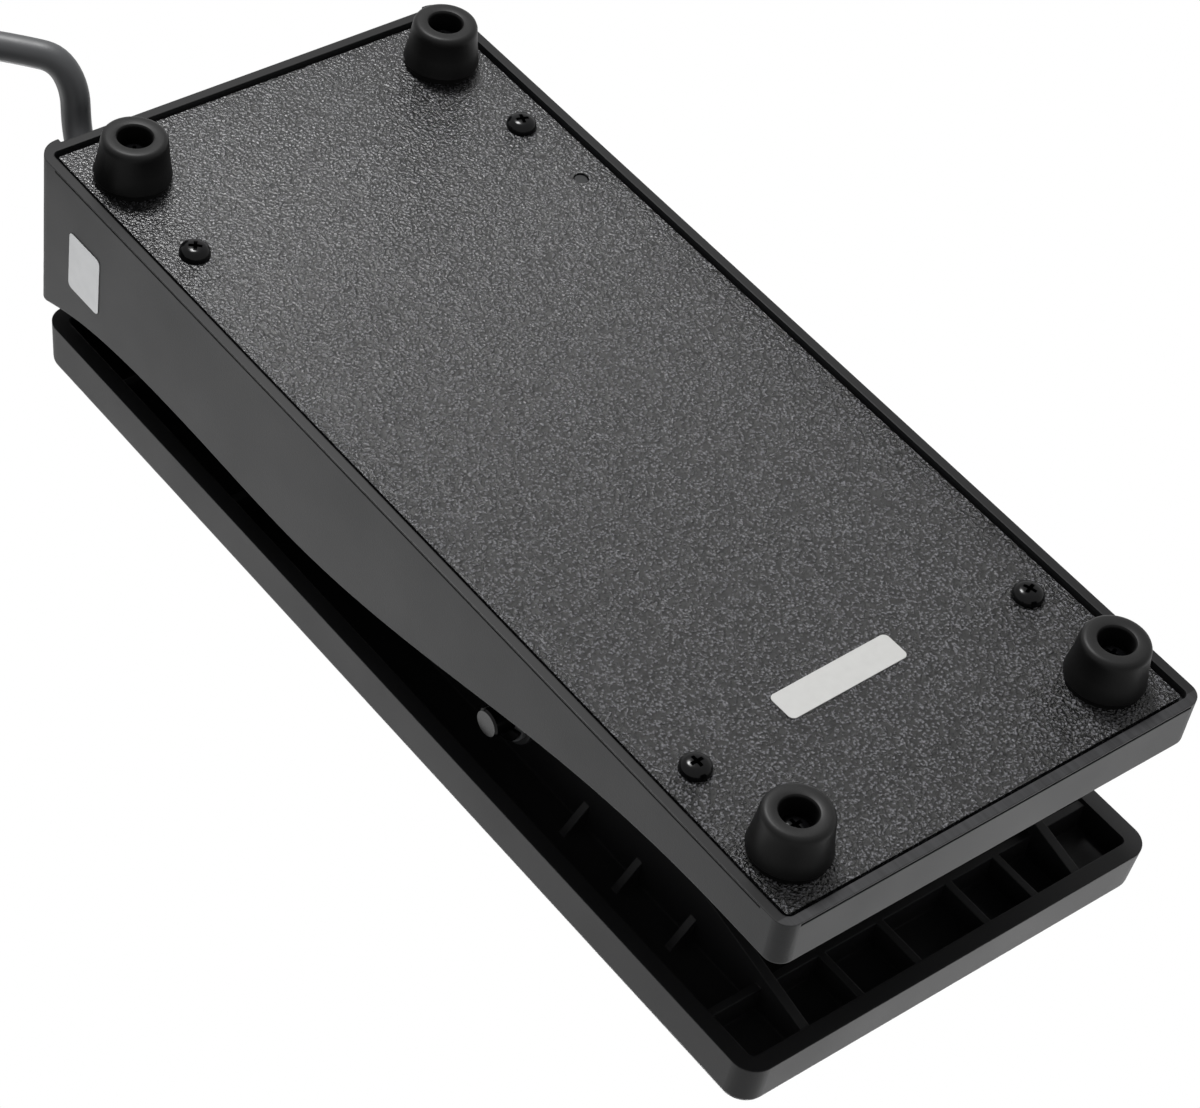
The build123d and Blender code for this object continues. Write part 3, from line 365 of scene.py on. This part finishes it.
black_oxide, tree = new_material("black oxide on steel")
place = add_node(tree, "ShaderNodeTexCoord")
speckle = add_node(tree, "ShaderNodeTexNoise", values={"Scale": 1 / 0.0008, "Detail": 3.0},
                   links={"Vector": (place, "Object")})
tone = add_node(tree, "ShaderNodeMix", {"data_type": "RGBA"},
                {6: linear("050506"), 7: linear("0c0c0d")}, {0: (speckle, "Fac")})
shine = add_node(tree, "ShaderNodeMapRange", values={"To Min": 0.14, "To Max": 0.24},
                 links={"Value": (speckle, "Fac")})
body = add_node(tree, "ShaderNodeBsdfPrincipled", values={"IOR": 1.6, "Specular IOR Level": 0.1},
                links={"Base Color": (tone, 2), "Roughness": (shine, 0)})
add_node(tree, "ShaderNodeOutputMaterial", links={"Surface": (body, 0)})

plate_seat = 0.0103
screw_seats = [(0.0397, 0.07445), (-0.0397, 0.07445), (0.0397, -0.07805), (-0.0397, -0.07805)]
screw_set("plate_screws", "base", [(x, y, plate_seat) for x, y in screw_seats], black_oxide)

# Feet: moulded rubber cones with a rounded tip, each held by a screw, a washer and a nut
# through the plate, at the bottom of a deep hole.
foot_places = {"toe_right": (0.0376, 0.09915), "toe_left": (-0.0376, 0.09915),
               "heel_right": (0.0376, -0.10055), "heel_left": (-0.0376, -0.10055)}
foot_profile = [
    (0.0017, 0.0103), (0.0017, 0.0061), (0.0033, 0.0061), (0.00345, 0.0059), (0.00345, 0.0008),
    (0.00352, 0.0004), (0.00375, 0.0001), (0.0041, 0.0), (0.0055, 0.0), (0.0060, 0.0001),
    (0.0064, 0.0004), (0.00662, 0.0009), (0.00672, 0.0016), (0.00712, 0.0054), (0.00716, 0.0055),
    (0.00768, 0.0086), (0.00776, 0.0089), (0.00768, 0.0091), (0.0074, 0.00915), (0.0074, 0.0103),
]
foot_sides = 64
tip_fade_top = 0.0007
tip_fade_bottom = 0.0002
rubber, tree = new_material("moulded black rubber")
place = add_node(tree, "ShaderNodeTexCoord")
axes = add_node(tree, "ShaderNodeSeparateXYZ", links={0: (place, "Object")})
# Each foot's colour turns lighter grey towards its tip, over its lowest 0.7 mm, fully so in the last 0.2
# mm.
tip_share = add_node(tree, "ShaderNodeMapRange", values={"From Min": tip_fade_top, "From Max": tip_fade_bottom},
                links={"Value": (axes, "Z")})
bloom = add_node(tree, "ShaderNodeTexNoise", values={"Scale": 1 / 0.006, "Detail": 6.0, "Roughness": 0.6},
                 links={"Vector": (place, "Object")})
tone = add_node(tree, "ShaderNodeMix", {"data_type": "RGBA"},
                {6: linear("080808"), 7: linear("0e0e0e")}, {0: (bloom, "Fac")})
tone = add_node(tree, "ShaderNodeMix", {"data_type": "RGBA"}, {7: linear("1a1a1a")},
                {0: (tip_share, 0), 6: (tone, 2)})
shine = add_node(tree, "ShaderNodeMapRange", values={"To Min": 0.36, "To Max": 0.5},
                 links={"Value": (bloom, "Fac")})
pores = add_node(tree, "ShaderNodeTexNoise", values={"Scale": 1 / 0.0004, "Detail": 2.0},
                 links={"Vector": (place, "Object")})
relief = add_node(tree, "ShaderNodeBump", values={"Strength": 0.15, "Distance": 0.0001},
                  links={"Height": (pores, "Fac")})
body = add_node(tree, "ShaderNodeBsdfPrincipled", values={"IOR": 1.52, "Specular IOR Level": 0.12},
                links={"Base Color": (tone, 2), "Roughness": (shine, 0), "Normal": (relief, 0)})
add_node(tree, "ShaderNodeOutputMaterial", links={"Surface": (body, 0)})

for name, (x, y) in foot_places.items():
    foot = turned(foot_profile, foot_sides, "foot_cone_" + name)
    foot.data.transform(Matrix.Translation((x, y, 0)))
    foot.data.materials.append(rubber)
    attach(foot, "base")
    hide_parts("foot_" + name)
foot_seat = 0.0056
foot_screw_length = 0.010
screw_set("foot_screws", "base", [(x, y, foot_seat) for x, y in foot_places.values()], black_oxide,
          foot_screw_length)

# Washers, nuts and bracket: zinc-plated steel, bright with a faint crystal bloom.
zinc, tree = new_material("bright zinc plate on steel")
place = add_node(tree, "ShaderNodeTexCoord")
bloom = add_node(tree, "ShaderNodeTexNoise", values={"Scale": 1 / 0.003, "Detail": 4.0},
                 links={"Vector": (place, "Object")})
tone = add_node(tree, "ShaderNodeMix", {"data_type": "RGBA"},
                {6: linear("9a9da0"), 7: linear("b9bbbd")}, {0: (bloom, "Fac")})
shine = add_node(tree, "ShaderNodeMapRange", values={"To Min": 0.24, "To Max": 0.4},
                 links={"Value": (bloom, "Fac")})
body = add_node(tree, "ShaderNodeBsdfPrincipled", values={"Metallic": 1.0},
                links={"Base Color": (tone, 2), "Roughness": (shine, 0)})
add_node(tree, "ShaderNodeOutputMaterial", links={"Surface": (body, 0)})
give_finish(zinc, "foot_washers", "foot_nuts", "pot_bracket", "pot_washer", "pot_nut")

# Labels: two plain stickers, white polyester on the plate and silvered film on the wall.
paper, tree = new_material("white polyester label")
place = add_node(tree, "ShaderNodeTexCoord")
fibre = add_node(tree, "ShaderNodeTexNoise", values={"Scale": 1 / 0.002, "Detail": 4.0},
                 links={"Vector": (place, "Object")})
tone = add_node(tree, "ShaderNodeMix", {"data_type": "RGBA"},
                {6: linear("b2b2b0"), 7: linear("bebebc")}, {0: (fibre, "Fac")})
body = add_node(tree, "ShaderNodeBsdfPrincipled", values={"Roughness": 0.45},
                links={"Base Color": (tone, 2)})
add_node(tree, "ShaderNodeOutputMaterial", links={"Surface": (body, 0)})
give_finish(paper, "serial_label")

film, tree = new_material("silvered polyester film")
place = add_node(tree, "ShaderNodeTexCoord")
haze = add_node(tree, "ShaderNodeTexNoise", values={"Scale": 1 / 0.003, "Detail": 4.0},
                links={"Vector": (place, "Object")})
tone = add_node(tree, "ShaderNodeMix", {"data_type": "RGBA"},
                {6: linear("a9aaab"), 7: linear("b8b9ba")}, {0: (haze, "Fac")})
body = add_node(tree, "ShaderNodeBsdfPrincipled", values={"Roughness": 0.4, "Metallic": 0.4},
                links={"Base Color": (tone, 2)})
add_node(tree, "ShaderNodeOutputMaterial", links={"Surface": (body, 0)})
give_finish(film, "side_label")

# Hinge: a black steel axle that turns with the treadle in two nylon bushes, with a nylon
# washer beside each lug. The potentiometer's shaft is ground bright.
steel, tree = new_material("ground steel rod")
place = add_node(tree, "ShaderNodeTexCoord")
stretch = add_node(tree, "ShaderNodeMapping", values={"Scale": (1 / 0.0002, 1 / 0.004, 1 / 0.004)},
                   links={"Vector": (place, "Object")})
rings = add_node(tree, "ShaderNodeTexNoise", values={"Scale": 1.0, "Detail": 3.0},
                 links={"Vector": (stretch, 0)})
shine = add_node(tree, "ShaderNodeMapRange", values={"To Min": 0.28, "To Max": 0.45},
                 links={"Value": (rings, "Fac")})
tone = add_node(tree, "ShaderNodeMix", {"data_type": "RGBA"},
                {6: linear("7c7e80"), 7: linear("97999b")}, {0: (rings, "Fac")})
body = add_node(tree, "ShaderNodeBsdfPrincipled", values={"Metallic": 1.0},
                links={"Base Color": (tone, 2), "Roughness": (shine, 0)})
add_node(tree, "ShaderNodeOutputMaterial", links={"Surface": (body, 0)})
give_finish(steel, "pot_shaft")
give_finish(black_oxide, "axle", "axle_clips")

nylon, tree = new_material("moulded grey nylon")
place = add_node(tree, "ShaderNodeTexCoord")
clouds = add_node(tree, "ShaderNodeTexNoise", values={"Scale": 1 / 0.002, "Detail": 4.0},
                  links={"Vector": (place, "Object")})
tone = add_node(tree, "ShaderNodeMix", {"data_type": "RGBA"},
                {6: linear("4a4b4c"), 7: linear("5a5b5c")}, {0: (clouds, "Fac")})
body = add_node(tree, "ShaderNodeBsdfPrincipled", values={"Roughness": 0.5, "Subsurface Weight": 0.05},
                links={"Base Color": (tone, 2)})
add_node(tree, "ShaderNodeOutputMaterial", links={"Surface": (body, 0)})
give_finish(nylon, "hinge_bush_right", "hinge_bush_left", "hinge_washers", "cable_clamp")

# Treadle: a second ABS moulding, a shallow tray turned upside down, with fins, cross ribs
# and gussets inside and a soft bloom from handling on its skirt.
treadle_abs, tree = new_material("moulded black ABS tray")
place = add_node(tree, "ShaderNodeTexCoord")
grain = add_node(tree, "ShaderNodeTexNoise", values={"Scale": 1 / 0.0003, "Detail": 3.0, "Roughness": 0.65},
                 links={"Vector": (place, "Object")})
clouds = add_node(tree, "ShaderNodeTexNoise", values={"Scale": 1 / 0.025, "Detail": 5.0},
                  links={"Vector": (place, "Object")})
tone = add_node(tree, "ShaderNodeMix", {"data_type": "RGBA"},
                {6: linear("101011"), 7: linear("1a1a1b")}, {0: (clouds, "Fac")})
shine = add_node(tree, "ShaderNodeMapRange", values={"To Min": 0.42, "To Max": 0.55},
                 links={"Value": (clouds, "Fac")})
edge = add_node(tree, "ShaderNodeBevel", {"samples": 4}, {"Radius": 0.0004})
relief = add_node(tree, "ShaderNodeBump", values={"Strength": 0.25, "Distance": 0.0001},
                  links={"Height": (grain, "Fac"), "Normal": (edge, 0)})
body = add_node(tree, "ShaderNodeBsdfPrincipled", values={"IOR": 1.54, "Specular IOR Level": 0.14},
                links={"Base Color": (tone, 2), "Roughness": (shine, 0), "Normal": (relief, 0)})
add_node(tree, "ShaderNodeOutputMaterial", links={"Surface": (body, 0)})
give_finish(treadle_abs, "treadle")

# Tread mat: ribbed sheet rubber glued in the treadle's recess, matt with fine dust in it.
mat_rubber, tree = new_material("ribbed sheet rubber")
place = add_node(tree, "ShaderNodeTexCoord")
dust = add_node(tree, "ShaderNodeTexNoise", values={"Scale": 1 / 0.012, "Detail": 8.0, "Roughness": 0.7},
                links={"Vector": (place, "Object")})
tone = add_node(tree, "ShaderNodeMix", {"data_type": "RGBA"},
                {6: linear("1c1c1c"), 7: linear("2b2b2b")}, {0: (dust, "Fac")})
pores = add_node(tree, "ShaderNodeTexNoise", values={"Scale": 1 / 0.0003, "Detail": 2.0},
                 links={"Vector": (place, "Object")})
edge = add_node(tree, "ShaderNodeBevel", {"samples": 4}, {"Radius": 0.0004})
relief = add_node(tree, "ShaderNodeBump", values={"Strength": 0.4, "Distance": 0.0001},
                  links={"Height": (pores, "Fac"), "Normal": (edge, 0)})
body = add_node(tree, "ShaderNodeBsdfPrincipled", values={"Roughness": 0.75, "IOR": 1.52},
                links={"Base Color": (tone, 2), "Normal": (relief, 0)})
add_node(tree, "ShaderNodeOutputMaterial", links={"Surface": (body, 0)})
give_finish(mat_rubber, "tread_mat", "toe_stop_right", "toe_stop_left", "heel_stop_right",
            "heel_stop_left", "cable_grommet")

# Gear train: a white acetal sector screwed under the treadle and an acetal pinion on the
# potentiometer's shaft, both cut smooth.
acetal, tree = new_material("moulded white acetal")
place = add_node(tree, "ShaderNodeTexCoord")
clouds = add_node(tree, "ShaderNodeTexNoise", values={"Scale": 1 / 0.003, "Detail": 4.0},
                  links={"Vector": (place, "Object")})
tone = add_node(tree, "ShaderNodeMix", {"data_type": "RGBA"},
                {6: linear("c9c8c2"), 7: linear("dbdad5")}, {0: (clouds, "Fac")})
body = add_node(tree, "ShaderNodeBsdfPrincipled", values={"Roughness": 0.35, "Subsurface Weight": 0.1,
                                                          "Subsurface Scale": 0.001},
                links={"Base Color": (tone, 2)})
add_node(tree, "ShaderNodeOutputMaterial", links={"Surface": (body, 0)})
give_finish(acetal, "gear_sector", "pot_pinion", "pot_wiper")
sector_middle = 0.0105
sector_seat = 0.0496
sector_screw_x = 0.009
sector_seats = [(x, sector_middle, sector_seat) for x in (sector_screw_x, -sector_screw_x)]
screw_set("sector_screws", "treadle", sector_seats, zinc)

# Potentiometer: a folded steel can with a brass-pinned phenolic wafer.
can_metal, tree = new_material("nickel-plated steel can")
place = add_node(tree, "ShaderNodeTexCoord")
smears = add_node(tree, "ShaderNodeTexNoise", values={"Scale": 1 / 0.004, "Detail": 5.0},
                  links={"Vector": (place, "Object")})
tone = add_node(tree, "ShaderNodeMix", {"data_type": "RGBA"},
                {6: linear("8f8f8c"), 7: linear("a9a9a6")}, {0: (smears, "Fac")})
shine = add_node(tree, "ShaderNodeMapRange", values={"To Min": 0.2, "To Max": 0.38},
                 links={"Value": (smears, "Fac")})
body = add_node(tree, "ShaderNodeBsdfPrincipled", values={"Metallic": 1.0},
                links={"Base Color": (tone, 2), "Roughness": (shine, 0)})
add_node(tree, "ShaderNodeOutputMaterial", links={"Surface": (body, 0)})
give_finish(can_metal, "pot_body")

phenolic, tree = new_material("phenolic paper board")
place = add_node(tree, "ShaderNodeTexCoord")
fibre = add_node(tree, "ShaderNodeTexNoise", values={"Scale": 1 / 0.0008, "Detail": 5.0},
                 links={"Vector": (place, "Object")})
tone = add_node(tree, "ShaderNodeMix", {"data_type": "RGBA"},
                {6: linear("5a3a20"), 7: linear("7a5330")}, {0: (fibre, "Fac")})
body = add_node(tree, "ShaderNodeBsdfPrincipled", values={"Roughness": 0.5},
                links={"Base Color": (tone, 2)})
add_node(tree, "ShaderNodeOutputMaterial", links={"Surface": (body, 0)})
give_finish(phenolic, "pot_wafer")

brass, tree = new_material("tinned brass")
place = add_node(tree, "ShaderNodeTexCoord")
smears = add_node(tree, "ShaderNodeTexNoise", values={"Scale": 1 / 0.002, "Detail": 4.0},
                  links={"Vector": (place, "Object")})
tone = add_node(tree, "ShaderNodeMix", {"data_type": "RGBA"},
                {6: linear("a89c78"), 7: linear("c0b794")}, {0: (smears, "Fac")})
body = add_node(tree, "ShaderNodeBsdfPrincipled", values={"Metallic": 1.0, "Roughness": 0.32},
                links={"Base Color": (tone, 2)})
add_node(tree, "ShaderNodeOutputMaterial", links={"Surface": (body, 0)})
give_finish(brass, "pot_terminals")

# Bracket screws: two, up through the bracket's foot into posts of the housing.
bracket_seats = [(0.021, 0.02658, 0.01501), (0.021, 0.01258, 0.01501)]
screw_set("bracket_screws", "base", bracket_seats, zinc)

# Wires: three insulated cores, black to ground, white from the wiper, red to the supply.
for name, low, high in (("wire_ground", "141414", "202020"), ("wire_wiper", "c4c4c0", "d6d6d2"),
                        ("wire_supply", "7d1512", "9c1f1a")):
    insulation, tree = new_material("extruded PVC insulation " + name[5:])
    place = add_node(tree, "ShaderNodeTexCoord")
    clouds = add_node(tree, "ShaderNodeTexNoise", values={"Scale": 1 / 0.003, "Detail": 3.0},
                      links={"Vector": (place, "Object")})
    tone = add_node(tree, "ShaderNodeMix", {"data_type": "RGBA"},
                    {6: linear(low), 7: linear(high)}, {0: (clouds, "Fac")})
    body = add_node(tree, "ShaderNodeBsdfPrincipled", values={"Roughness": 0.4},
                    links={"Base Color": (tone, 2)})
    add_node(tree, "ShaderNodeOutputMaterial", links={"Surface": (body, 0)})
    give_finish(insulation, name)

# Clamp screw: one, beside the cable, that presses the clamp's bar against the cable.
clamp_seat = (0.028, 0.08805, 0.015)
screw_set("clamp_screw", "base", [clamp_seat], zinc)

# Plug: a stereo quarter-inch jack with nickel-plated contacts, black insulating rings and a
# moulded handle, whose boot grips the cable.
nickel, tree = new_material("polished nickel plate")
place = add_node(tree, "ShaderNodeTexCoord")
smears = add_node(tree, "ShaderNodeTexNoise", values={"Scale": 1 / 0.005, "Detail": 6.0},
                  links={"Vector": (place, "Object")})
tone = add_node(tree, "ShaderNodeMix", {"data_type": "RGBA"},
                {6: linear("b4b2ac"), 7: linear("c6c4be")}, {0: (smears, "Fac")})
shine = add_node(tree, "ShaderNodeMapRange", values={"To Min": 0.12, "To Max": 0.26},
                 links={"Value": (smears, "Fac")})
edge = add_node(tree, "ShaderNodeBevel", {"samples": 4}, {"Radius": 0.0002})
body = add_node(tree, "ShaderNodeBsdfPrincipled", values={"Metallic": 1.0},
                links={"Base Color": (tone, 2), "Roughness": (shine, 0), "Normal": (edge, 0)})
add_node(tree, "ShaderNodeOutputMaterial", links={"Surface": (body, 0)})
give_finish(nickel, "plug_sleeve", "plug_ring", "plug_tip")
give_finish(rubber, "plug_handle", "plug_insulator_rear", "plug_insulator_front")

# Tie: a black fabric strap with a hook-and-loop face, wrapped round the coil.
strap, tree = new_material("woven nylon strap")
place = add_node(tree, "ShaderNodeTexCoord")
turn_weave = add_node(tree, "ShaderNodeMapping", values={"Scale": (1 / 0.0008, 1 / 0.0008, 1 / 0.0008)},
                      links={"Vector": (place, "Object")})
weave = add_node(tree, "ShaderNodeTexVoronoi", values={"Scale": 1.0, "Randomness": 0.2},
                 links={"Vector": (turn_weave, 0)})
tone = add_node(tree, "ShaderNodeMix", {"data_type": "RGBA"},
                {6: linear("101010"), 7: linear("2a2a2a")}, {0: (weave, "Distance")})
relief = add_node(tree, "ShaderNodeBump", values={"Strength": 0.8, "Distance": 0.0002},
                  links={"Height": (weave, "Distance")})
body = add_node(tree, "ShaderNodeBsdfPrincipled", values={"Roughness": 0.85, "Sheen Weight": 0.3},
                links={"Base Color": (tone, 2), "Normal": (relief, 0)})
add_node(tree, "ShaderNodeOutputMaterial", links={"Surface": (body, 0)})
give_finish(strap, "coil_tie")

# Stage: a pale floor that the camera sees only from above, so that a view from below
# looks through it; it fades out into the white of the world.
floor_half = 1.5
fade_start = 0.5
fade_end = 1.3
bm = bmesh.new()
bmesh.ops.create_grid(bm, x_segments=1, y_segments=1, size=floor_half)
floor = link_mesh(bm, "floor")
floor_finish, tree = new_material("pale floor")
place = add_node(tree, "ShaderNodeTexCoord")
distance = add_node(tree, "ShaderNodeVectorMath", {"operation": "LENGTH"}, links={0: (place, "Object")})
fade = add_node(tree, "ShaderNodeMapRange", values={"From Min": fade_start, "From Max": fade_end},
                links={"Value": (distance, "Value")})
side = add_node(tree, "ShaderNodeNewGeometry")
clear_share = add_node(tree, "ShaderNodeMath", {"operation": "MAXIMUM"},
                       links={0: (fade, 0), 1: (side, "Backfacing")})
matte = add_node(tree, "ShaderNodeBsdfDiffuse", values={"Color": linear("f4f4f2")})
clear = add_node(tree, "ShaderNodeBsdfTransparent")
mixed = add_node(tree, "ShaderNodeMixShader",
                 links={0: (clear_share, 0), 1: (matte, 0), 2: (clear, 0)})
add_node(tree, "ShaderNodeOutputMaterial", links={"Surface": (mixed, 0)})
floor.data.materials.append(floor_finish)
floor.visible_shadow = False
floor.visible_diffuse = False
floor.visible_glossy = False
floor.visible_transmission = False

# World: white to the camera and to reflections, and a soft even light for the rest.
world = bpy.data.worlds.new("white studio")
scene.world = world
world.use_nodes = True
tree = world.node_tree
tree.nodes.clear()
path = add_node(tree, "ShaderNodeLightPath")
seen = add_node(tree, "ShaderNodeMath", {"operation": "MAXIMUM"},
                links={0: (path, "Is Camera Ray"), 1: (path, "Is Glossy Ray")})
seen = add_node(tree, "ShaderNodeMath", {"operation": "MAXIMUM"},
                links={0: (seen, 0), 1: (path, "Is Transmission Ray")})
soft_light = add_node(tree, "ShaderNodeBackground", values={"Color": (1, 1, 1, 1), "Strength": 0.3})
white = add_node(tree, "ShaderNodeBackground", values={"Color": (1, 1, 1, 1), "Strength": 1.0})
mixed = add_node(tree, "ShaderNodeMixShader", links={0: (seen, 0), 1: (soft_light, 0), 2: (white, 0)})
add_node(tree, "ShaderNodeOutputWorld", links={"Surface": (mixed, 0)})


def soft_lamp(name, direction, distance, size, watts, aim=(0, 0, 0.03)):
    """Square soft lamp that looks at the pedal from a direction."""
    lamp = bpy.data.lights.new(name, "AREA")
    lamp.size = size
    lamp.energy = watts
    lamp_object = bpy.data.objects.new(name, lamp)
    place = Vector(aim) + Vector(direction).normalized() * distance
    look = Vector(direction).to_track_quat("Z", "Y").to_matrix().to_4x4()
    lamp_object.matrix_world = Matrix.Translation(place) @ look
    scene.collection.objects.link(lamp_object)


soft_lamp("key below", (-0.14, 0.46, -0.86), distance=1.1, size=0.22, watts=13)
soft_lamp("side light", (0.55, 0.5, 0.65), distance=1.2, size=0.7, watts=2.1)
soft_lamp("heel light", (-0.55, -0.5, 0.65), distance=1.2, size=0.7, watts=2.6)
soft_lamp("top light", (-0.3, 0.2, 1.0), distance=1.4, size=0.8, watts=14)
